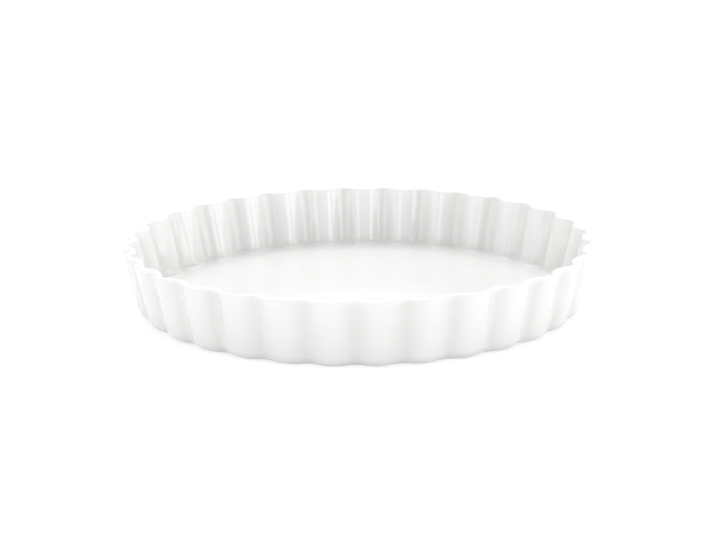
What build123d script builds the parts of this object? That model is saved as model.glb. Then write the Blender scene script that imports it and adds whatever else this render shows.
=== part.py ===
from build123d import *
from math import atan2, cos, hypot, pi, sin
import os

# Fluted quiche dish: one fired porcelain body, glazed all over except the foot ring it stands on.
# Millimetres. +Z is up, the origin is the middle of the foot ring's resting plane, and a flute
# crest lies on +X. Radii of the wall are taken over the flutes, on the glazed surface.

# Overall size of the glazed dish
rim_diameter = 280.0
base_diameter = 262.0
dish_height = 39.5

# Flutes: wide round crests outside with narrower hollows between them. Inside it is the other way
# round, with wide round ridges and a narrower groove behind each crest. They are as deep inside as
# outside at the rim; lower down they get shallower outside, but stay deep inside.
flute_count = 32
rim_flute_depth = 4.4
base_flute_depth = 2.6
inner_base_flute_depth = 4.2
hollow_radius = 7.0
groove_radius = 7.0

# Wall, floor and the roundings that a plaster mould leaves
lip_thickness = 4.0
base_wall_thickness = 4.0
floor_thickness = 3.0
cove_radius = 3.5
base_edge_radius = 8.0
lip_radius_share = 0.47

# Foot ring, turned smooth and left bare so that the dish doesn't stick to the kiln shelf
foot_diameter = 234.0
foot_width = 5.0
foot_height = 0.5
foot_edge_radius = 0.4

# Glaze: a skin of even thickness that stops short of the foot ring on both sides
glaze_thickness = 0.3
dry_margin = 1.0

# Derived sizes. The rim is measured over its rounded lip, so the mould's sharp rim is wider.
half_pitch = pi / flute_count
lip_radius = lip_thickness * lip_radius_share
flare = (rim_diameter - base_diameter) / 2 / dish_height
lip_setback = lip_radius * (flare + hypot(1, flare) - 1)
mould_rim_diameter = rim_diameter + 2 * lip_setback
floor_top = foot_height + floor_thickness
foot_radius = foot_diameter / 2
foot_bore_radius = foot_radius - foot_width


def between(base_value, rim_value, height):
    """A size at some height, when it changes evenly from the resting plane to the rim."""
    return base_value + (rim_value - base_value) * height / dish_height


def arc_chain(crest, trough, joint_radius, joint_angle):
    """Draw a closed ring of tangent arcs, one over each crest and one through each trough."""
    for flute in range(flute_count):
        middle = 2 * half_pitch * flute
        start = Vector(joint_radius, 0).rotate(Axis.Z, (middle - joint_angle) * 180 / pi)
        top = Vector(crest, 0).rotate(Axis.Z, middle * 180 / pi)
        turn = Vector(joint_radius, 0).rotate(Axis.Z, (middle + joint_angle) * 180 / pi)
        bottom = Vector(trough, 0).rotate(Axis.Z, (middle + half_pitch) * 180 / pi)
        end = start.rotate(Axis.Z, 2 * half_pitch * 180 / pi)
        ThreePointArc(start, top, turn)
        ThreePointArc(turn, bottom, end)


def outer_section(height, inset):
    """The dish's outline at a height, drawn in by inset. The small arcs lie in the troughs."""
    crest = between(base_diameter, mould_rim_diameter, height) / 2 - inset
    trough = crest - between(base_flute_depth, rim_flute_depth, height)
    small = hollow_radius + inset
    small_centre = trough + small
    level = crest - small_centre * cos(half_pitch)
    large = (level**2 + (small_centre * sin(half_pitch)) ** 2 - small**2) / (2 * (level + small))
    share = large / (large + small)
    joint_x = (crest - large) * (1 - share) + small_centre * cos(half_pitch) * share
    joint_y = small_centre * sin(half_pitch) * share
    with BuildSketch(Plane.XY.offset(height)) as section:
        with BuildLine():
            arc_chain(crest, trough, hypot(joint_x, joint_y), atan2(joint_y, joint_x))
        make_face()
    return section.sketch


def inner_section(height, inset):
    """The hollow's outline at a height, let out by inset. The small arcs lie behind the crests."""
    wall = between(base_wall_thickness, lip_thickness, height)
    crest = between(base_diameter, mould_rim_diameter, height) / 2 - wall + inset
    trough = crest - between(inner_base_flute_depth, rim_flute_depth, height)
    small = groove_radius + inset
    small_centre = crest - small
    level = small_centre * cos(half_pitch) - trough
    side = small_centre * sin(half_pitch)
    large = (level**2 + side**2 - small**2) / (2 * (level + small))
    share = small / (large + small)
    joint_x = small_centre * (1 - share) + (trough + large) * cos(half_pitch) * share
    joint_y = (trough + large) * sin(half_pitch) * share
    with BuildSketch(Plane.XY.offset(height)) as section:
        with BuildLine():
            arc_chain(crest, trough, hypot(joint_x, joint_y), atan2(joint_y, joint_x))
        make_face()
    return section.sketch


def dish_form(inset):
    """The dish without its foot, with every surface set in from the glazed one by inset."""
    underside = foot_height - glaze_thickness + inset
    floor = floor_top - inset
    rim = dish_height - inset
    with BuildPart() as form:
        loft([outer_section(underside, inset), outer_section(rim, inset)], ruled=True)
        loft(
            [inner_section(floor, inset), inner_section(rim, inset)],
            ruled=True,
            mode=Mode.SUBTRACT,
        )
        flats = form.faces().filter_by(GeomType.PLANE).sort_by(Axis.Z)
        fillet(flats[1].edges(), cove_radius + inset)
        flats = form.faces().filter_by(GeomType.PLANE).sort_by(Axis.Z)
        fillet(flats[0].edges(), base_edge_radius - inset)
        flats = form.faces().filter_by(GeomType.PLANE).sort_by(Axis.Z)
        fillet(flats[-1].edges(), lip_radius - inset)
    return form.part


glazed_form = dish_form(0)
biscuit_form = dish_form(glaze_thickness)

# Porcelain body: fluted wall, floor and foot ring, fired as one piece
with BuildPart() as porcelain_body:
    add(biscuit_form)
    with BuildSketch(Plane.XY):
        Circle(foot_radius)
        Circle(foot_bore_radius, mode=Mode.SUBTRACT)
    extrude(amount=foot_height)
    resting_face = porcelain_body.faces().sort_by(Axis.Z)[0]
    fillet(resting_face.edges(), foot_edge_radius)
porcelain_body.part.label = "porcelain_body"

# Glaze coat: one unbroken skin from the dry margin under the base, up the outside, over the lip,
# down the inside and across the floor
with BuildPart() as glaze_coat:
    add(glazed_form)
    add(biscuit_form, mode=Mode.SUBTRACT)
    with BuildSketch(Plane.XY.offset(foot_height - glaze_thickness)):
        Circle(foot_radius + dry_margin)
    extrude(amount=glaze_thickness, mode=Mode.SUBTRACT)
glaze_coat.part.label = "glaze_coat"

# Underside glaze: the round field inside the foot ring, cut off from the rest by the bare foot
with BuildPart() as underside_glaze:
    with BuildSketch(Plane.XY.offset(foot_height)):
        Circle(foot_bore_radius - dry_margin)
    extrude(amount=-glaze_thickness)
underside_glaze.part.label = "underside_glaze"

os.makedirs("parts", exist_ok=True)
export_step(porcelain_body.part, "parts/porcelain_body.step")
export_step(glaze_coat.part, "parts/glaze_coat.step")
export_step(underside_glaze.part, "parts/underside_glaze.step")
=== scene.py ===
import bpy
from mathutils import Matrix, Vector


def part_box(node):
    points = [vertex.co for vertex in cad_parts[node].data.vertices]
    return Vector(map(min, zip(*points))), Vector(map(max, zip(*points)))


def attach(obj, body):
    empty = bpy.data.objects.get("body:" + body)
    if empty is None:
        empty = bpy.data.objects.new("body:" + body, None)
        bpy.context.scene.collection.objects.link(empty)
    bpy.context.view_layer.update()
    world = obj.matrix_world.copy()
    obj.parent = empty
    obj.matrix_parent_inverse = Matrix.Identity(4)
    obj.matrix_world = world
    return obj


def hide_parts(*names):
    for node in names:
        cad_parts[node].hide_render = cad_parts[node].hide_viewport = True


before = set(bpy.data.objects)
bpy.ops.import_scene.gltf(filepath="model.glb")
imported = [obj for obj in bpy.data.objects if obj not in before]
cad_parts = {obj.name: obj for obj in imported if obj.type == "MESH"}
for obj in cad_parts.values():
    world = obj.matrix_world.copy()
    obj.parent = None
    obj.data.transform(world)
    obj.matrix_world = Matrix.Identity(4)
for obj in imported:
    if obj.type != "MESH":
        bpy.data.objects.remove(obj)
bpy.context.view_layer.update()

"""Fluted quiche dish: white porcelain under a clear glaze, dressed round its CAD frame.

Lengths are metres unless a name ends in _mm. +Z is up and the dish stands on Z = 0. The dish's
round form follows one rule, so Geometry Nodes make it; the rule is the CAD's own, an outline of
tangent arcs at each height.
"""
import logging
from dataclasses import dataclass, fields, replace
from enum import Enum
from math import atan, atan2, cos, pi, radians, sin

import bmesh
import bpy
from mathutils import Quaternion, Vector

MM = 0.001
LOG = logging.getLogger("quiche_dish")
Socket = bpy.types.NodeSocket
Tree = bpy.types.NodeTree

# Rings round the thin rounded edge where a glaze layer ends
BEAD_STEPS = 4
# A noise of soft even waves, as a fired glaze has them
CALM_NOISE = {"Detail": 1.0, "Roughness": 0.4}


def linear(colour: str) -> tuple[float, float, float, float]:
    """Turn an sRGB hex colour into Blender's linear colour.

    Args:
        colour: six hex digits after a hash, such as "#f4f3ef".

    Returns:
        The linear red, green and blue with an alpha of 1.
    """
    shares = [int(colour[i : i + 2], 16) / 255 for i in (1, 3, 5)]
    made = [s / 12.92 if s <= 0.04045 else ((s + 0.055) / 1.055) ** 2.4 for s in shares]
    return (made[0], made[1], made[2], 1.0)


def part_way(first: float, last: float, share: float) -> float:
    """A value that lies a share of the way from the first to the last."""
    return first + (last - first) * share


def add_node(
    tree: Tree, kind: str, settings: dict | None = None, links: dict | None = None
) -> bpy.types.Node:
    """Add a node, set its properties and fill its inputs.

    Args:
        tree: the node tree that takes the node.
        kind: the node's type name.
        settings: property names with their values.
        links: input names or numbers with a socket to link or a constant to set.

    Returns:
        The new node.
    """
    node = tree.nodes.new(kind)
    for name, value in (settings or {}).items():
        setattr(node, name, value)
    for name, value in (links or {}).items():
        if isinstance(value, Socket):
            tree.links.new(value, node.inputs[name])
        else:
            node.inputs[name].default_value = value
    return node


class Term:
    """A number in a node tree, so that a formula can be written as one."""

    def __init__(self, tree: Tree, source: Socket | float):
        """Wrap a socket or a constant.

        Args:
            tree: the node tree that works the number out.
            source: the socket or the constant that it stands for.
        """
        self.tree = tree
        self.source = source

    def math(self, operation: str, *others: "Term | float") -> "Term":
        """Join this term and others by one math node.

        Args:
            operation: the math node's operation.
            others: the further terms or constants.

        Returns:
            The result as a term.
        """
        values = [self, *others]
        links = {i: v.source if isinstance(v, Term) else v for i, v in enumerate(values)}
        node = add_node(self.tree, "ShaderNodeMath", {"operation": operation}, links)
        return Term(self.tree, node.outputs[0])

    def __add__(self, other: "Term | float") -> "Term":
        """Sum."""
        return self.math("ADD", other)

    def __sub__(self, other: "Term | float") -> "Term":
        """Difference."""
        return self.math("SUBTRACT", other)

    def __mul__(self, other: "Term | float") -> "Term":
        """Product."""
        return self.math("MULTIPLY", other)

    def __truediv__(self, other: "Term | float") -> "Term":
        """Quotient."""
        return self.math("DIVIDE", other)

    def sine(self) -> "Term":
        """Sine of an angle in radians."""
        return self.math("SINE")

    def cosine(self) -> "Term":
        """Cosine of an angle in radians."""
        return self.math("COSINE")


class Side(Enum):
    """Which face of the wall a ring lies on."""

    OUTSIDE = "outside"
    INSIDE = "inside"


class Sheet(Enum):
    """Which face of the glaze a ring lies on: the glossy one or the one against the clay."""

    SHOWN = 1.0
    HIDDEN = 0.0


@dataclass(frozen=True)
class Ring:
    """One closed ring of tangent arcs round the dish, as the node tree reads it.

    Attributes:
        height: its height.
        crest: the radius at the middle of a flute's crest.
        trough: the radius between two crests.
        crest_arc: the radius of the arc over a crest.
        trough_arc: the radius of the arc through a trough.
        turn: the angle that half a crest's arc turns through.
        split: where in a flute the arcs meet, as a share of the flute's columns from its crest.
        shrink: how far the ring is drawn in to the axis, 1 for not at all.
        shown: 1 on the glossy face of the glaze and 0 on the face against the clay.
        pool_crest: how thickly the glaze lies over a crest, from -1 to 1; where thick, it also
            darkens it as painted shade.
        pool_trough: how thickly it lies in a trough, with the same painted shade.
    """

    height: float
    crest: float
    trough: float
    crest_arc: float
    trough_arc: float
    turn: float
    split: float = 0.5
    shrink: float = 1.0
    shown: float = 1.0
    pool_crest: float = 0.0
    pool_trough: float = 0.0


@dataclass(frozen=True)
class FluteRule:
    """The rule that the dish's wall follows, with sizes in millimetres on the glazed surface.

    Attributes:
        rim_height_mm: height of the lip's top.
        rim_radius_mm: over the crests of the rounded lip.
        underside_mm: height of the glaze's lowest face.
        flute_count: flutes round the dish.
        base_diameter_mm: over the crests, at the height that the dish stands on.
        base_depth_mm: how deep the flutes are there, outside.
        inner_base_depth_mm: how deep they are there, inside.
        rim_depth_mm: how deep they are at the rim.
        hollow_radius_mm: of the narrower hollows outside.
        groove_radius_mm: of the narrower grooves inside.
        lip_thickness_mm: wall at the rim.
        base_wall_mm: wall at the level of the table.
        lip_radius_mm: rounding of both of the lip's edges.
    """

    rim_height_mm: float
    rim_radius_mm: float
    underside_mm: float
    flute_count: int = 32
    base_diameter_mm: float = 262.0
    base_depth_mm: float = 2.6
    inner_base_depth_mm: float = 4.2
    rim_depth_mm: float = 4.4
    hollow_radius_mm: float = 7.0
    groove_radius_mm: float = 7.0
    lip_thickness_mm: float = 4.0
    base_wall_mm: float = 4.0
    lip_radius_mm: float = 1.88

    @classmethod
    def from_frame(cls) -> "FluteRule":
        """Take the overall sizes from the CAD's glaze.

        Returns:
            The rule, whose other sizes are the CAD's too.
        """
        low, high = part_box("glaze_coat")
        return cls(high.z / MM, (high.x - low.x) / 2 / MM, low.z / MM)

    @property
    def half_pitch(self) -> float:
        """Half of the angle that one flute takes."""
        return pi / self.flute_count

    @property
    def sharp_rim_radius_mm(self) -> float:
        """Radius over the crests at the lip's top, before the lip is rounded."""
        flare = (self.rim_radius_mm - self.base_diameter_mm / 2) / self.rim_height_mm
        return self.rim_radius_mm + self.lip_radius_mm * (flare + (1 + flare**2) ** 0.5 - 1)

    def between(self, base: float, rim: float, height: float) -> float:
        """A size at some height, when it changes evenly from the table to the rim."""
        return base + (rim - base) * height / self.rim_height_mm

    def slope(self, side: Side) -> float:
        """Work out how far a face of the wall leans out.

        Args:
            side: the face of the wall.

        Returns:
            Its mean angle from upright, in radians.
        """
        run = self.sharp_rim_radius_mm - self.base_diameter_mm / 2
        run -= (self.rim_depth_mm - self.foot_depth(side)) / 2
        if side is Side.INSIDE:
            run += self.base_wall_mm - self.lip_thickness_mm
        return atan(run / self.rim_height_mm)

    def foot_depth(self, side: Side) -> float:
        """How deep the flutes are at the level of the table, in millimetres."""
        return self.base_depth_mm if side is Side.OUTSIDE else self.inner_base_depth_mm

    def ring(self, side: Side, level: float, height: float, inset: float, **other: float) -> Ring:
        """A ring parallel to the wall's outline at a level.

        Args:
            side: the face of the wall that the ring follows.
            level: the height in millimetres at which the wall is cut.
            height: the height in millimetres that the ring is put at.
            inset: how far into the wall the ring lies from that face.
            other: further values of the ring.

        Returns:
            The ring, in metres.
        """
        crest = self.between(self.base_diameter_mm / 2, self.sharp_rim_radius_mm, level)
        depth = self.between(self.foot_depth(side), self.rim_depth_mm, level)
        cosine, sine = cos(self.half_pitch), sin(self.half_pitch)
        if side is Side.OUTSIDE:
            crest -= inset
            trough = crest - depth
            small = self.hollow_radius_mm + inset
            reach = trough + small
            gap = crest - reach * cosine
        else:
            crest += inset - self.between(self.base_wall_mm, self.lip_thickness_mm, level)
            trough = crest - depth
            small = self.groove_radius_mm + inset
            reach = crest - small
            gap = reach * cosine - trough
        # The wide arc that turns smoothly into the narrow one
        large = (gap**2 + (reach * sine) ** 2 - small**2) / (2 * (gap + small))
        arcs = (large, small) if side is Side.OUTSIDE else (small, large)
        across = (trough + arcs[1]) * sine
        along = (trough + arcs[1]) * cosine - (crest - arcs[0])
        turn = atan2(across, along)
        # Roots of the arcs' lengths, so that the shorter arc gets more columns than its share
        weights = [(arcs[0] * turn) ** 0.5, (arcs[1] * (turn - self.half_pitch)) ** 0.5]
        split = 0.5 * weights[0] / sum(weights)
        lengths = [v * MM for v in (height, crest, trough, *arcs)]
        return Ring(*lengths, turn=turn, split=split, **other)

    def circle(self, radius: float, height: float, **other: float) -> Ring:
        """A plain round ring, with its sizes in millimetres."""
        lengths = [v * MM for v in (height, radius, radius, radius, radius)]
        return Ring(*lengths, turn=self.half_pitch, split=0.5, **other)


@dataclass(frozen=True)
class RingTree:
    """The Geometry Nodes tree that lofts rings into a closed skin.

    Attributes:
        name: the tree's name.
        per_flute: columns of faces in one flute.
        weld_mm: how near two points are for them to become one.
        ripple_mm: how far the fired glaze waves up and down.
        ripple_width_mm: how wide one such wave is.
        seed: the seed of the waves.
        row_tolerance: how near a face's row is to the open row for the face to be left out.
    """

    name: str = "glaze rings"
    per_flute: int = 28
    weld_mm: float = 0.002
    ripple_mm: float = 0.03
    ripple_width_mm: float = 30.0
    seed: float = 7.0
    row_tolerance: float = 0.1

    INPUTS = {
        "Rings": "NodeSocketGeometry",
        "Flutes": "NodeSocketInt",
        "Columns": "NodeSocketInt",
        "Open Row": "NodeSocketFloat",
        "Weld": "NodeSocketFloat",
        "Ripple": "NodeSocketFloat",
        "Ripple Width": "NodeSocketFloat",
        "Seed": "NodeSocketFloat",
        "Finish": "NodeSocketMaterial",
    }

    def guide(self, name: str, rings: list[Ring]) -> bpy.types.Object:
        """Write the rings as the points of a mesh, one point for each, for the tree to read.

        Args:
            name: the name of the piece.
            rings: the rings from one end of the skin to the other.

        Returns:
            The object that takes the modifier.
        """
        mesh = bpy.data.meshes.new(name)
        mesh.vertices.add(len(rings))
        for field in fields(Ring):
            values = mesh.attributes.new(field.name, "FLOAT", "POINT")
            values.data.foreach_set("value", [getattr(ring, field.name) for ring in rings])
        guide = bpy.data.objects.new(name, mesh)
        bpy.context.scene.collection.objects.link(guide)
        return guide

    def stored(self, tree: Tree, name: str) -> Term:
        """Read a number that is stored on the points of a mesh."""
        kind, settings = "GeometryNodeInputNamedAttribute", {"data_type": "FLOAT"}
        return Term(tree, add_node(tree, kind, settings, {"Name": name}).outputs[0])

    def bend(self, half: Term, nearest: Term, offset: Term, ring: dict[str, Term]) -> Socket:
        """Work out where a point of a ring lies, on the arc over its crest or through a trough.

        Args:
            half: half of the angle that one flute takes.
            nearest: the number of the nearest crest.
            offset: how far past that crest the point is, in flutes.
            ring: the values of the point's ring, by name.

        Returns:
            The point's place.
        """
        tree, middle_of_trough = half.tree, Term(half.tree, 0.5)
        away = offset.math("ABSOLUTE")
        past = away.math("GREATER_THAN", ring["split"])
        over = away / ring["split"] * ring["turn"]
        into = (middle_of_trough - away) / (middle_of_trough - ring["split"])
        under = half + pi + into * (ring["turn"] - half)
        crest_centre = ring["crest"] - ring["crest_arc"]
        crest_x = crest_centre + ring["crest_arc"] * over.cosine()
        crest_y = ring["crest_arc"] * over.sine()
        trough_centre = ring["trough"] + ring["trough_arc"]
        trough_x = trough_centre * half.cosine() + ring["trough_arc"] * under.cosine()
        trough_y = trough_centre * half.sine() + ring["trough_arc"] * under.sine()
        along = (crest_x + (trough_x - crest_x) * past) * ring["shrink"]
        across = (crest_y + (trough_y - crest_y) * past) * ring["shrink"] * offset.math("SIGN")
        middle = half * nearest * 2
        x = along * middle.cosine() - across * middle.sine()
        y = along * middle.sine() + across * middle.cosine()
        place = add_node(
            tree,
            "ShaderNodeCombineXYZ",
            links={"X": x.source, "Y": y.source, "Z": ring["height"].source},
        )
        return place.outputs[0]

    def loft(self, tree: Tree, given: dict[str, Socket]) -> Socket:
        """Bend a flat grid, which has one row of points for each ring, into the rings' form.

        Args:
            tree: the node tree.
            given: the tree's inputs by name.

        Returns:
            The open skin, with the row, the face, and the glaze pooling with its painted shade
            stored on its points.
        """
        size = add_node(
            tree,
            "GeometryNodeAttributeDomainSize",
            {"component": "MESH"},
            {"Geometry": given["Rings"]},
        )
        flutes, per_flute = Term(tree, given["Flutes"]), Term(tree, given["Columns"])
        columns = flutes * per_flute + 1
        grid = add_node(
            tree,
            "GeometryNodeMeshGrid",
            links={"Vertices X": size.outputs["Point Count"], "Vertices Y": columns.source},
        )
        index = Term(tree, add_node(tree, "GeometryNodeInputIndex").outputs[0])
        row = (index / columns).math("FLOOR")
        flute = (index - row * columns) / per_flute
        nearest = (flute + 0.5).math("FLOOR")
        offset = flute - nearest

        def read(name: str) -> Term:
            """Read one of the ring's values at the grid's row."""
            sample = add_node(
                tree,
                "GeometryNodeSampleIndex",
                {"data_type": "FLOAT", "domain": "POINT"},
                {
                    "Geometry": given["Rings"],
                    "Value": self.stored(tree, name).source,
                    "Index": row.source,
                },
            )
            return Term(tree, sample.outputs[0])

        ring = {field.name: read(field.name) for field in fields(Ring)}
        place = self.bend(Term(tree, pi) / flutes, nearest, offset, ring)
        lofted = add_node(
            tree,
            "GeometryNodeSetPosition",
            links={"Geometry": grid.outputs["Mesh"], "Position": place},
        )
        on_crest = (offset.math("ABSOLUTE") * (2 * pi)).cosine() * 0.5 + 0.5
        in_trough = Term(tree, 1.0) - on_crest
        # Glaze pooling with painted shade, from the crest's value to the trough's
        pooled_and_shaded = ring["pool_crest"] * on_crest + ring["pool_trough"] * in_trough
        skin = lofted.outputs[0]
        for name, value in (("pooling_and_shade", pooled_and_shaded), ("shown", ring["shown"]), ("row", row)):
            stored = add_node(
                tree,
                "GeometryNodeStoreNamedAttribute",
                {"data_type": "FLOAT", "domain": "POINT"},
                {"Geometry": skin, "Name": name, "Value": value.source},
            )
            skin = stored.outputs[0]
        return skin

    def close(self, tree: Tree, given: dict[str, Socket], skin: Socket) -> Socket:
        """Leave out the row between two poles, weld the seam and the poles, and face outwards.

        Args:
            tree: the node tree.
            given: the tree's inputs by name.
            skin: the open skin.

        Returns:
            The closed skin.
        """
        apart = (self.stored(tree, "row") - Term(tree, given["Open Row"])).math("ABSOLUTE")
        opened = add_node(
            tree,
            "GeometryNodeDeleteGeometry",
            {"domain": "FACE"},
            {"Geometry": skin, "Selection": apart.math("LESS_THAN", self.row_tolerance).source},
        )
        welded = add_node(
            tree,
            "GeometryNodeMergeByDistance",
            links={"Geometry": opened.outputs[0], "Distance": given["Weld"]},
        )
        return add_node(
            tree, "GeometryNodeFlipFaces", links={"Mesh": welded.outputs[0]}
        ).outputs[0]

    def ripple(self, tree: Tree, given: dict[str, Socket], skin: Socket) -> Socket:
        """Draw the glossy face in by soft waves, so that it never stands out past the CAD's.

        Args:
            tree: the node tree.
            given: the tree's inputs by name.
            skin: the closed skin.

        Returns:
            The waved skin.
        """
        where = add_node(tree, "GeometryNodeInputPosition").outputs[0]
        scale = Term(tree, 1.0) / Term(tree, given["Ripple Width"])
        noise = add_node(
            tree,
            "ShaderNodeTexNoise",
            {"noise_dimensions": "4D"},
            {"Vector": where, "W": given["Seed"], "Scale": scale.source, **CALM_NOISE},
        )
        wave = (Term(tree, noise.outputs[0]) - 1.0) * Term(tree, given["Ripple"])
        wave = wave * self.stored(tree, "shown")
        normal = add_node(tree, "GeometryNodeInputNormal").outputs[0]
        push = add_node(
            tree, "ShaderNodeVectorMath", {"operation": "SCALE"}, {0: normal, "Scale": wave.source}
        )
        return add_node(
            tree, "GeometryNodeSetPosition", links={"Geometry": skin, "Offset": push.outputs[0]}
        ).outputs[0]

    def tree(self) -> Tree:
        """Build the tree.

        Returns:
            The tree, whose inputs are the rings, the flutes, the row left open and the finish.
        """
        tree = bpy.data.node_groups.new(self.name, "GeometryNodeTree")
        for name, kind in self.INPUTS.items():
            tree.interface.new_socket(name, in_out="INPUT", socket_type=kind)
        tree.interface.new_socket("Skin", in_out="OUTPUT", socket_type="NodeSocketGeometry")
        given = {socket.name: socket for socket in add_node(tree, "NodeGroupInput").outputs}
        closed = self.close(tree, given, self.loft(tree, given))
        waved = self.ripple(tree, given, closed)
        smooth = add_node(tree, "GeometryNodeSetShadeSmooth", links={"Geometry": waved})
        real = add_node(
            tree, "GeometryNodeRealizeInstances", links={"Geometry": smooth.outputs[0]}
        )
        finish = add_node(
            tree,
            "GeometryNodeSetMaterial",
            links={"Geometry": real.outputs[0], "Material": given["Finish"]},
        )
        add_node(tree, "NodeGroupOutput", links={"Skin": finish.outputs[0]})
        return tree

    def skin(
        self,
        name: str,
        rings: list[Ring],
        flutes: int,
        finish: bpy.types.Material,
        open_row: float = -1.0,
    ) -> bpy.types.Object:
        """Loft rings into a closed skin and keep it as a plain mesh.

        Args:
            name: the piece's name.
            rings: the rings in order, from pole to pole or back to the first.
            flutes: flutes round the dish.
            finish: the skin's material.
            open_row: the row between two poles that gets no faces, as the mean of its rings.

        Returns:
            The finished piece.
        """
        guide = self.guide(name, rings)
        tree = bpy.data.node_groups.get(self.name) or self.tree()
        values = {
            "Flutes": flutes,
            "Columns": self.per_flute,
            "Open Row": open_row,
            "Weld": self.weld_mm * MM,
            "Ripple": self.ripple_mm * MM,
            "Ripple Width": self.ripple_width_mm * MM,
            "Seed": self.seed,
            "Finish": finish,
        }
        modifier = guide.modifiers.new("rings", "NODES")
        modifier.node_group = tree
        for item in tree.interface.items_tree:
            if item.in_out == "INPUT" and item.name in values:
                modifier[item.identifier] = values[item.name]
        graph = bpy.context.evaluated_depsgraph_get()
        mesh = bpy.data.meshes.new_from_object(guide.evaluated_get(graph))
        guide.modifiers.clear()
        guide.data = mesh
        mesh.name = name
        mesh.materials.pop(index=0)
        shape = bmesh.new()
        shape.from_mesh(mesh)
        bmesh.ops.dissolve_degenerate(shape, edges=shape.edges, dist=self.weld_mm * MM)
        open_edges = sum(1 for edge in shape.edges if not edge.is_manifold)
        volume = shape.calc_volume(signed=True) / MM**3
        shape.to_mesh(mesh)
        shape.free()
        LOG.info("%s: %d open edges, %.0f cubic millimetres", name, open_edges, volume)
        return guide


@dataclass(frozen=True)
class GlazedPorcelain:
    """Hard-paste porcelain under a clear feldspar glaze, gloss fired at about 1400 degrees.

    The body is a cool white that lets a little light in. The glaze is glass, so it mirrors lamps
    in sharp narrow lines; it lies thicker in hollows, where it turns a shade greener, and thins
    over edges, where the white is warmest. Where it lies thick, its colour is also darkened as
    painted shade, in the hollows and grooves and most of all in the cove round the floor.

    Attributes:
        name: the material's name.
        white: the body's colour under glaze of usual thickness.
        pooled_and_shaded: its colour where the glaze lies thick, darker as painted shade of the
            hollows and the cove.
        thin: its colour where the glaze runs thin.
        cloud_mm: width of the faint clouds in which the glaze lies thicker.
        cloud_share: how much they add to the pooling and its painted shade.
        ior: of feldspar glass.
        roughness: of the fired gloss surface.
        roughness_spread: between its glossiest and its dullest patches.
        gloss_mm: width of those patches.
        soft_share: how much of the light goes into the white body before it comes back.
        depth_mm: how far that light goes.
        depth_by_colour: the same for red, green and blue, as shares.
        orange_peel_mm: width of the finest waves in the glaze, drawn as wide as they need to show.
        orange_peel_height_mm: height of those waves.
    """

    name: str = "white porcelain, clear gloss glaze"
    white: str = "#ececeb"
    pooled_and_shaded: str = "#e0e1de"
    thin: str = "#f0efee"
    cloud_mm: float = 38.0
    cloud_share: float = 0.6
    ior: float = 1.51
    roughness: float = 0.07
    roughness_spread: float = 0.04
    gloss_mm: float = 9.0
    soft_share: float = 0.08
    depth_mm: float = 0.8
    depth_by_colour: tuple[float, float, float] = (1.0, 0.9, 0.75)
    orange_peel_mm: float = 5.0
    orange_peel_height_mm: float = 0.006

    def material(self) -> bpy.types.Material:
        """Build the material.

        Returns:
            The glazed porcelain, whose colour follows the skin's "pooling_and_shade" attribute,
            glaze pooling with painted shade.
        """
        made = bpy.data.materials.new(self.name)
        made.use_nodes = True
        tree = made.node_tree
        tree.nodes.clear()
        where = add_node(tree, "ShaderNodeTexCoord").outputs["Object"]
        pooling_and_shade = add_node(tree, "ShaderNodeAttribute", {"attribute_name": "pooling_and_shade"})
        cloud = add_node(
            tree,
            "ShaderNodeTexNoise",
            links={
                "Vector": where,
                "Scale": 1 / (self.cloud_mm * MM),
                "Detail": 3.0,
                "Roughness": 0.5,
            },
        )
        drift = (Term(tree, cloud.outputs[0]) - 0.5) * self.cloud_share
        # How thick the glaze lies, together with painted shade in the hollows, grooves and cove,
        # from 0 to 1
        depth = (Term(tree, pooling_and_shade.outputs["Fac"]) + drift) * 0.5 + 0.5
        ramp = add_node(tree, "ShaderNodeValToRGB", links={"Fac": depth.source})
        ramp.color_ramp.elements[0].color = linear(self.thin)
        # The far end: the thick glaze's greener colour, darkened as painted shade
        ramp.color_ramp.elements[1].color = linear(self.pooled_and_shaded)
        middle = ramp.color_ramp.elements.new(0.5)
        middle.color = linear(self.white)
        gloss = add_node(
            tree,
            "ShaderNodeTexNoise",
            links={
                "Vector": where,
                "Scale": 1 / (self.gloss_mm * MM),
                "Detail": 2.0,
                "Roughness": 0.5,
            },
        )
        glossiest = self.roughness - self.roughness_spread / 2
        roughness = Term(tree, gloss.outputs[0]) * self.roughness_spread + glossiest
        peel = add_node(
            tree,
            "ShaderNodeTexNoise",
            links={"Vector": where, "Scale": 1 / (self.orange_peel_mm * MM), **CALM_NOISE},
        )
        bump = add_node(
            tree,
            "ShaderNodeBump",
            links={
                "Strength": 0.5,
                "Distance": self.orange_peel_height_mm * MM,
                "Height": peel.outputs[0],
            },
        )
        shader = add_node(
            tree,
            "ShaderNodeBsdfPrincipled",
            links={
                "Base Color": ramp.outputs[0],
                "Roughness": roughness.source,
                "IOR": self.ior,
                "Subsurface Weight": self.soft_share,
                "Subsurface Radius": self.depth_by_colour,
                "Subsurface Scale": self.depth_mm * MM,
                "Normal": bump.outputs[0],
            },
        )
        add_node(tree, "ShaderNodeOutputMaterial", links={"Surface": shader.outputs[0]})
        return made


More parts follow.
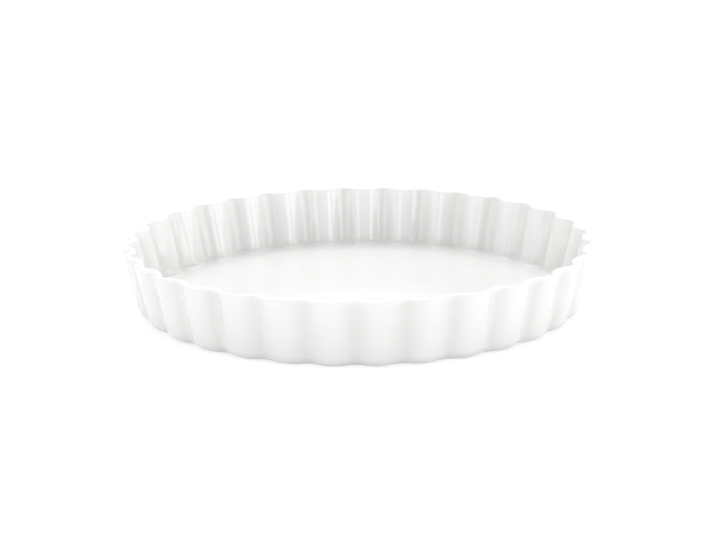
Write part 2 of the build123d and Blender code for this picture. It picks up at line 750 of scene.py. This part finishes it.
@dataclass(frozen=True)
class BarePorcelain:
    """Unglazed porcelain: a fine matt stone-like white, turned smooth and rubbed by use.

    Attributes:
        name: the material's name.
        clean: its colour.
        rubbed: its colour where worktops and oven shelves have rubbed it.
        rub_mm: width of the rubbed patches.
        rub_starts: the level of their noise at which the rubbing starts to show.
        rub_full: the level at which it is full.
        ior: of the vitrified body.
        roughness: of the sanded foot.
        roughness_spread: between its smoothest and its coarsest grains.
        grain_mm: width of the grain, drawn as coarse as it needs to show.
        grain_height_mm: height of the grain.
    """

    name: str = "bare porcelain, sanded"
    clean: str = "#efece4"
    rubbed: str = "#d9d3c6"
    rub_mm: float = 16.0
    rub_starts: float = 0.42
    rub_full: float = 0.78
    ior: float = 1.5
    roughness: float = 0.62
    roughness_spread: float = 0.2
    grain_mm: float = 0.5
    grain_height_mm: float = 0.02

    def material(self) -> bpy.types.Material:
        """Build the material.

        Returns:
            The bare porcelain, with its grain and rub marks by Object coordinates.
        """
        made = bpy.data.materials.new(self.name)
        made.use_nodes = True
        tree = made.node_tree
        tree.nodes.clear()
        where = add_node(tree, "ShaderNodeTexCoord").outputs["Object"]
        wear = add_node(
            tree,
            "ShaderNodeTexNoise",
            links={
                "Vector": where,
                "Scale": 1 / (self.rub_mm * MM),
                "Detail": 5.0,
                "Roughness": 0.6,
            },
        )
        ramp = add_node(tree, "ShaderNodeValToRGB", links={"Fac": wear.outputs[0]})
        ramp.color_ramp.elements[0].position = self.rub_starts
        ramp.color_ramp.elements[0].color = linear(self.clean)
        ramp.color_ramp.elements[1].position = self.rub_full
        ramp.color_ramp.elements[1].color = linear(self.rubbed)
        grain = add_node(
            tree,
            "ShaderNodeTexNoise",
            links={"Vector": where, "Scale": 1 / (self.grain_mm * MM), "Detail": 3.0},
        )
        smoothest = self.roughness - self.roughness_spread / 2
        roughness = Term(tree, grain.outputs[0]) * self.roughness_spread + smoothest
        bump = add_node(
            tree,
            "ShaderNodeBump",
            links={
                "Strength": 0.5,
                "Distance": self.grain_height_mm * MM,
                "Height": grain.outputs[0],
            },
        )
        shader = add_node(
            tree,
            "ShaderNodeBsdfPrincipled",
            links={
                "Base Color": ramp.outputs[0],
                "Roughness": roughness.source,
                "IOR": self.ior,
                "Normal": bump.outputs[0],
            },
        )
        add_node(tree, "ShaderNodeOutputMaterial", links={"Surface": shader.outputs[0]})
        return made


@dataclass(frozen=True)
class Rounding:
    """A rounded edge or corner along one face of the wall.

    Attributes:
        side: the face of the wall that it ends.
        level_mm: height of the middle of its arc.
        radius_mm: of its arc.
        angles: from the level at which the arc starts and ends, in radians.
        crest_pools_and_shade: how thickly the glaze lies over the crests at the arc's two ends,
            with painted shade where it is thick.
        trough_pools_and_shade: the same in the troughs.
        fills: whether it fills a corner, as a cove does, or takes an edge off.
    """

    side: Side
    level_mm: float
    radius_mm: float
    angles: tuple[float, float]
    crest_pools_and_shade: tuple[float, float]
    trough_pools_and_shade: tuple[float, float]
    fills: bool = False

    def rings(self, rule: FluteRule, inset: float, steps: int, sheet: Sheet) -> list[Ring]:
        """Draw the arc as rings that end on the wall's leaning face.

        Args:
            rule: the rule of the fluted wall.
            inset: how far into the wall that face lies, in millimetres.
            steps: steps from the first ring to the last.
            sheet: the face of the glaze that the rings lie on.

        Returns:
            The rings from the arc's start to its end.
        """
        rings = []
        for step in range(steps + 1):
            share = step / steps
            angle = part_way(*self.angles, share)
            back = self.radius_mm / cos(rule.slope(self.side)) - self.radius_mm * cos(angle)
            rings.append(
                rule.ring(
                    self.side,
                    self.level_mm,
                    self.level_mm + self.radius_mm * sin(angle),
                    inset + (-back if self.fills else back),
                    shown=sheet.value,
                    # Glaze pooling with painted shade, changing evenly along the arc
                    pool_crest=part_way(*self.crest_pools_and_shade, share),
                    pool_trough=part_way(*self.trough_pools_and_shade, share),
                )
            )
        return rings


@dataclass
class GlazeCoat:
    """The glaze over the outside, lip, inside and floor, as one closed skin.

    A pool is how thickly the glaze lies in a place, from -1 for thin to 1 for thick; above 0 it
    also darkens the colour as painted shade.

    Attributes:
        rule: the rule of the fluted wall.
        base_edge_mm: rounding between the wall and the underside.
        cove_mm: rounding between the wall's inside and the floor.
        floor_mm: from the underside of the body to the glazed floor.
        glaze_mm: thickness of the glaze.
        dry_margin_mm: bare strip between the foot ring and the glaze.
        foot_radius_mm: outer radius of the foot ring.
        hollow_pool_and_shade: in the hollows between the flutes, outside, with painted shade.
        lip_pool: on the top of the lip, which it runs off.
        groove_pool_and_shade: in the grooves behind the crests, inside, with painted shade.
        cove_groove_pool_and_shade: at the top of the cove, in the grooves, glaze pooling and
            painted shade of the corner.
        cove_ridge_pool_and_shade: there, on the ridges, with the same painted shade.
        floor_pool_and_shade: at the foot of the cove, with painted shade.
        floor_pool_and_shade_share: how far it reaches from there, as a share of the floor's rings.
        floor_crowding: how much closer the floor's rings lie near the cove, 1 for not at all.
        shown_steps: steps in each rounding of the glossy face.
        hidden_steps: steps in each rounding of the face against the clay, and on its floor.
        floor_steps: rings across the glossy floor.
    """

    rule: FluteRule
    base_edge_mm: float = 8.0
    cove_mm: float = 3.5
    floor_mm: float = 3.0
    glaze_mm: float = 0.3
    dry_margin_mm: float = 1.0
    foot_radius_mm: float = 117.0
    hollow_pool_and_shade: float = 0.6
    lip_pool: float = -0.9
    groove_pool_and_shade: float = 0.7
    cove_groove_pool_and_shade: float = 0.9
    cove_ridge_pool_and_shade: float = 0.8
    floor_pool_and_shade: float = 0.2
    floor_pool_and_shade_share: float = 1 / 6
    floor_crowding: float = 1.2
    shown_steps: int = 7
    hidden_steps: int = 3
    floor_steps: int = 12

    @property
    def underside_mm(self) -> float:
        """Height of the body's underside, which the glaze hangs from."""
        return self.rule.underside_mm + self.glaze_mm

    @property
    def edge_radius_mm(self) -> float:
        """Radius at which the glaze stops, just outside the foot ring."""
        return self.foot_radius_mm + self.dry_margin_mm

    def wall_rows(
        self, side: Side, span: tuple[float, float], rows: int, **other: float
    ) -> list[Ring]:
        """Rings up or down the straight part of the wall, between two roundings.

        Args:
            side: the face of the wall.
            span: the heights in millimetres at which the roundings end.
            rows: rows of faces between them.
            other: how far into the wall the rings lie, and their further values.

        Returns:
            The rings between the two heights.
        """
        heights = [part_way(*span, row / rows) for row in range(1, rows)]
        return [self.rule.ring(side, height, height, **other) for height in heights]

    def wall_rings(self, inset: float, steps: int, sheet: Sheet) -> list[Ring]:
        """Rings of the body's form, drawn in from the glazed surface by inset.

        Args:
            inset: depth in millimetres below the glazed surface.
            steps: steps in each rounding.
            sheet: the face of the glaze that the rings lie on.

        Returns:
            The rings from the underside's outer edge over the lip to the edge of the floor.
        """
        rule = self.rule
        lean, inner_lean = rule.slope(Side.OUTSIDE), rule.slope(Side.INSIDE)
        edge = self.base_edge_mm - inset
        lip = rule.lip_radius_mm - inset
        cove = self.cove_mm + inset
        edge_level = self.underside_mm - self.glaze_mm + inset + edge
        lip_level = rule.rim_height_mm - inset - lip
        cove_level = self.underside_mm + self.floor_mm - inset + cove
        base_edge = Rounding(
            Side.OUTSIDE, edge_level, edge, (-pi / 2, -lean), (0.0, 0.0), (0.0, self.hollow_pool_and_shade)
        )
        outer_lip = Rounding(
            Side.OUTSIDE, lip_level, lip, (-lean, pi / 2),
            (0.0, self.lip_pool), (self.hollow_pool_and_shade, self.lip_pool),
        )
        inner_lip = Rounding(
            Side.INSIDE, lip_level, lip, (pi / 2, inner_lean),
            (self.lip_pool, self.groove_pool_and_shade), (self.lip_pool, 0.0),
        )
        # The cove's pool values darken its corner as painted shade, besides the glaze that pools
        # there
        inner_cove = Rounding(
            Side.INSIDE, cove_level, cove, (-inner_lean, -pi / 2),
            (self.cove_groove_pool_and_shade, self.floor_pool_and_shade), (self.cove_ridge_pool_and_shade, self.floor_pool_and_shade),
            fills=True,
        )
        rows, common = steps + 2, {"inset": inset, "shown": sheet.value}
        outside = (edge_level - edge * sin(lean), lip_level - lip * sin(lean))
        inside = (lip_level + lip * sin(inner_lean), cove_level - cove * sin(inner_lean))
        return [
            *base_edge.rings(rule, inset, 2 * steps - 2, sheet),
            *self.wall_rows(Side.OUTSIDE, outside, rows, pool_trough=self.hollow_pool_and_shade, **common),
            *outer_lip.rings(rule, inset, steps, sheet),
            *inner_lip.rings(rule, inset, steps, sheet),
            *self.wall_rows(Side.INSIDE, inside, rows, pool_crest=self.groove_pool_and_shade, **common),
            *inner_cove.rings(rule, inset, steps, sheet),
        ]

    def floor_rings(self, last: Ring, steps: int) -> list[Ring]:
        """Rings that draw the floor in to its middle.

        Args:
            last: the ring at the foot of the cove.
            steps: rings across the floor.

        Returns:
            The rings, of which the last one is a single point.
        """
        rings = []
        for step in range(1, steps + 1):
            share = step / steps
            # Pooling and its painted shade fade out across the floor from the cove
            pool = self.floor_pool_and_shade * max(0.0, 1 - share / self.floor_pool_and_shade_share)
            shrink = 1 - share**self.floor_crowding
            rings.append(replace(last, shrink=shrink, pool_crest=pool, pool_trough=pool))
        return rings

    def rings(self) -> tuple[list[Ring], int]:
        """All the rings of the closed skin.

        Returns:
            The rings, and the row of the shown floor's middle.
        """
        bead = []
        for step in range(BEAD_STEPS + 1):
            angle = pi / 2 * step / BEAD_STEPS
            radius = self.edge_radius_mm + self.glaze_mm * (1 - cos(angle))
            bead.append(self.rule.circle(radius, self.underside_mm - self.glaze_mm * sin(angle)))
        shown = bead + self.wall_rings(0.0, self.shown_steps, Sheet.SHOWN)
        shown += self.floor_rings(shown[-1], self.floor_steps)
        hidden = self.wall_rings(self.glaze_mm, self.hidden_steps, Sheet.HIDDEN)
        hidden += self.floor_rings(hidden[-1], self.hidden_steps)
        hidden.insert(0, replace(bead[0], shown=Sheet.HIDDEN.value))
        return shown + hidden[::-1], len(shown) - 1

    def build(self, tree: RingTree, finish: bpy.types.Material) -> bpy.types.Object:
        """Loft the skin, put it on the body and let it stand for the CAD's glaze.

        Args:
            tree: the tree that lofts rings.
            finish: the glazed porcelain.

        Returns:
            The finished piece.
        """
        rings, centre = self.rings()
        piece = tree.skin("glaze_skin", rings, self.rule.flute_count, finish, centre + 0.5)
        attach(piece, "root")
        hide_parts("glaze_coat")
        return piece


@dataclass
class UndersideGlaze:
    """The round field of glaze inside the foot ring.

    Attributes:
        rule: the rule that gives the node tree its columns.
        thickness_mm: of the glaze.
        shown_steps: rings across its shown face.
        hidden_steps: rings across the face against the clay.
    """

    rule: FluteRule
    thickness_mm: float = 0.3
    shown_steps: int = 16
    hidden_steps: int = 3

    def rings(self) -> list[Ring]:
        """The rings from the middle of the shown face round its edge to the middle of the hidden.

        Returns:
            The rings in order.
        """
        radius, top = (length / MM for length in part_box("underside_glaze")[1].xz)
        thick = self.thickness_mm
        edge = []
        for step in range(BEAD_STEPS + 1):
            angle = pi / 2 * step / BEAD_STEPS
            height = top - thick * cos(angle)
            edge.append(self.rule.circle(radius - thick * (1 - sin(angle)), height))
        shown = [
            replace(edge[0], shrink=step / self.shown_steps) for step in range(self.shown_steps)
        ]
        hidden = [
            replace(edge[-1], shrink=step / self.hidden_steps, shown=Sheet.HIDDEN.value)
            for step in reversed(range(self.hidden_steps))
        ]
        return shown + edge + hidden

    def build(self, tree: RingTree, finish: bpy.types.Material) -> bpy.types.Object:
        """Loft the disc, put it on the body and let it stand for the CAD's glaze.

        Args:
            tree: the tree that lofts rings.
            finish: the glazed porcelain.

        Returns:
            The finished piece.
        """
        piece = tree.skin("underside_glaze_skin", self.rings(), self.rule.flute_count, finish)
        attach(piece, "root")
        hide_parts("underside_glaze")
        return piece


@dataclass
class PorcelainBody:
    """The fired body, which shows only at the bare foot ring and its dry margins."""

    node: str = "porcelain_body"

    def dress(self, finish: bpy.types.Material) -> bpy.types.Object:
        """Give the CAD's body its finish and leave its mesh as it is.

        Args:
            finish: the bare porcelain.

        Returns:
            The CAD's object.
        """
        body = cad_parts[self.node]
        body.data.materials.clear()
        body.data.materials.append(finish)
        return body


@dataclass(frozen=True)
class SoftBox:
    """A rectangular studio lamp behind a diffuser, placed by its direction from the dish.

    Attributes:
        name: what it does.
        azimuth_deg: where it stands round the dish, from the front by the right.
        elevation_deg: how high it stands, seen from the dish.
        size: its width and height, in metres.
        power: in watts.
        distance: from the dish, in metres.
    """

    name: str
    azimuth_deg: float
    elevation_deg: float
    size: tuple[float, float]
    power: float
    distance: float = 1.5

    @property
    def place(self) -> Vector:
        """The middle of the lamp, in metres, with the dish at the origin."""
        turn, lift = radians(self.azimuth_deg), radians(self.elevation_deg)
        level = self.distance * cos(lift)
        return Vector((level * sin(turn), -level * cos(turn), self.distance * sin(lift)))

    def hang(self, target: Vector) -> bpy.types.Object:
        """Hang the lamp so that it faces a point.

        Args:
            target: the point that it lights.

        Returns:
            The lamp.
        """
        light = bpy.data.lights.new(self.name, "AREA")
        light.shape = "RECTANGLE"
        light.size, light.size_y = self.size
        light.energy = self.power
        lamp = bpy.data.objects.new(self.name, light)
        lamp.location = self.place
        lamp.rotation_mode = "QUATERNION"
        lamp.rotation_quaternion = (target - self.place).to_track_quat("-Z", "Y")
        bpy.context.scene.collection.objects.link(lamp)
        return lamp


@dataclass
class Studio:
    """The white sweep, lamps and camera that the dish is photographed with.

    Attributes:
        lamps: the soft boxes.
        lit_point: the point that they face, in metres.
        ambient: strength of the white room's own light.
        floor_colour: of the paper that the dish stands on, as it lights the dish.
        fibre_colour: of the paper's fibres.
        fibre_share: how much of the paper's colour they give, at most.
        fibres_per_metre: across the paper.
        shadow_colour: of the paper as it is seen, dark so that the dish's shadow on it stays pale.
        floor_glow: what the seen paper adds to that to become plain white.
        paper_reach: from the middle of the paper to its edges.
        distance: from the camera to the middle of the dish's foot.
        elevation_deg: of the camera above the table, seen from there.
        azimuth_deg: of the camera round the dish, from straight in front of a crest.
        roll_deg: by which the picture leans to the left.
        focal_px: the lens in pixels of the 716 wide picture.
        aim: the point that the camera looks at, in metres.
    """

    lamps: tuple[SoftBox, ...] = (
        SoftBox("window, right", 38, 11, (0.55, 0.5), 2.3, 1.6),
        SoftBox("window, left", -38, 11, (0.55, 0.5), 1.7, 1.6),
        SoftBox("right, front", 65, 14, (0.5, 0.5), 2.1),
        SoftBox("left, front", -65, 14, (0.5, 0.5), 0.9),
        SoftBox("right", 85, 14, (0.5, 0.5), 1.3),
        SoftBox("left", -85, 14, (0.5, 0.5), 1.0),
        SoftBox("right, back", 105, 14, (0.5, 0.5), 1.2),
        SoftBox("left, back", -105, 14, (0.5, 0.5), 0.6),
        SoftBox("right, low", 45, 4, (0.6, 0.25), 0.9, 1.6),
        SoftBox("left, low", -45, 4, (0.6, 0.25), 1.3, 1.6),
        SoftBox("back, high", 180, 62, (1.2, 0.7), 9.9),
        SoftBox("back", 180, 40, (1.2, 0.6), 1.8),
    )
    lit_point: tuple[float, float, float] = (0.0, 0.0, 0.02)
    ambient: float = 0.74
    floor_colour: str = "#f7f7f7"
    fibre_colour: str = "#e8e8e8"
    fibre_share: float = 0.04
    fibres_per_metre: float = 900.0
    shadow_colour: str = "#a8a8a8"
    floor_glow: float = 0.70
    paper_reach: float = 12.0
    distance: float = 1.08
    elevation_deg: float = 16.18
    azimuth_deg: float = -4.29
    roll_deg: float = 0.607
    focal_px: float = 1803.6
    aim: tuple[float, float, float] = (-0.0009, 0.0, 0.01915)

    PICTURE_WIDTH_PX = 716
    SENSOR_MM = 36.0
    CLIP_START, CLIP_END = 0.05, 50.0

    def camera(self) -> bpy.types.Object:
        """Set up the camera.

        Returns:
            The scene's camera.
        """
        data = bpy.data.cameras.new("camera")
        data.sensor_width = self.SENSOR_MM
        data.lens = self.focal_px * self.SENSOR_MM / self.PICTURE_WIDTH_PX
        data.clip_start, data.clip_end = self.CLIP_START, self.CLIP_END
        camera = bpy.data.objects.new("camera", data)
        turn, lift = radians(self.azimuth_deg), radians(self.elevation_deg)
        place = Vector((sin(turn) * cos(lift), -cos(turn) * cos(lift), sin(lift))) * self.distance
        look = Vector(self.aim) - place
        camera.location = place
        camera.rotation_mode = "QUATERNION"
        lean = Quaternion((0, 0, 1), -radians(self.roll_deg))
        camera.rotation_quaternion = look.to_track_quat("-Z", "Y") @ lean
        bpy.context.scene.collection.objects.link(camera)
        bpy.context.scene.camera = camera
        return camera

    def seen(self, tree: Tree) -> Term:
        """Tell the rays that show the background from the rays that light the dish.

        Args:
            tree: the node tree of the paper or of the room.

        Returns:
            1 for a ray from the camera or the gloss or through glass, otherwise 0.
        """
        path = add_node(tree, "ShaderNodeLightPath").outputs
        camera, gloss, glass = (
            Term(tree, path[f"Is {kind} Ray"]) for kind in ("Camera", "Glossy", "Transmission")
        )
        return camera.math("MAXIMUM", gloss).math("MAXIMUM", glass)

    def paper(self) -> bpy.types.Material:
        """White paper that the camera sees as plain white outside the dish's shadow.

        Returns:
            The material.
        """
        made = bpy.data.materials.new("white background paper, matt")
        made.use_nodes = True
        tree = made.node_tree
        tree.nodes.clear()
        where = add_node(tree, "ShaderNodeTexCoord").outputs["Object"]
        fibre = add_node(
            tree, "ShaderNodeTexNoise", links={"Vector": where, "Scale": self.fibres_per_metre}
        )
        tone = add_node(
            tree,
            "ShaderNodeMix",
            {"data_type": "RGBA"},
            {
                "Factor": (Term(tree, fibre.outputs[0]) * self.fibre_share).source,
                6: linear(self.floor_colour),
                7: linear(self.fibre_colour),
            },
        )
        seen = self.seen(tree)
        shaded = add_node(
            tree,
            "ShaderNodeMix",
            {"data_type": "RGBA"},
            {
                "Factor": seen.source,
                6: tone.outputs[2],
                7: linear(self.shadow_colour),
            },
        )
        matt = add_node(
            tree, "ShaderNodeBsdfDiffuse", links={"Color": shaded.outputs[2], "Roughness": 1.0}
        )
        glow = add_node(
            tree,
            "ShaderNodeEmission",
            links={"Color": (1, 1, 1, 1), "Strength": (seen * self.floor_glow).source},
        )
        both = add_node(
            tree, "ShaderNodeAddShader", links={0: matt.outputs[0], 1: glow.outputs[0]}
        )
        add_node(tree, "ShaderNodeOutputMaterial", links={"Surface": both.outputs[0]})
        return made

    def floor(self) -> bpy.types.Object:
        """Lay the paper.

        Returns:
            The floor, a square wide enough to fill every view from above it.
        """
        reach = self.paper_reach
        mesh = bpy.data.meshes.new("paper")
        corners = [(-reach, -reach, 0), (reach, -reach, 0), (reach, reach, 0), (-reach, reach, 0)]
        mesh.from_pydata(corners, [], [(0, 1, 2, 3)])
        mesh.materials.append(self.paper())
        floor = bpy.data.objects.new("paper", mesh)
        bpy.context.scene.collection.objects.link(floor)
        return floor

    def room(self) -> None:
        """Fill the room with even light that the camera and the gloss see as white."""
        world = bpy.data.worlds.new("white room")
        world.use_nodes = True
        tree = world.node_tree
        tree.nodes.clear()
        strength = self.seen(tree) * (1.0 - self.ambient) + self.ambient
        back = add_node(
            tree,
            "ShaderNodeBackground",
            links={"Color": (1, 1, 1, 1), "Strength": strength.source},
        )
        add_node(tree, "ShaderNodeOutputWorld", links={"Surface": back.outputs[0]})
        bpy.context.scene.world = world

    def set_up(self) -> None:
        """Set up the camera, floor, room and lamps."""
        self.camera()
        self.floor()
        self.room()
        for lamp in self.lamps:
            lamp.hang(Vector(self.lit_point))
        bpy.context.scene.view_settings.view_transform = "Standard"


def main() -> None:
    """Set up the studio, then build and dress the dish piece by piece."""
    logging.basicConfig(level=logging.INFO, format="%(message)s")
    Studio().set_up()
    rule = FluteRule.from_frame()
    tree = RingTree()
    glaze = GlazedPorcelain().material()
    pieces = [
        PorcelainBody().dress(BarePorcelain().material()),
        GlazeCoat(rule).build(tree, glaze),
        UndersideGlaze(rule).build(tree, glaze),
    ]


if __name__ == "__main__":
    main()
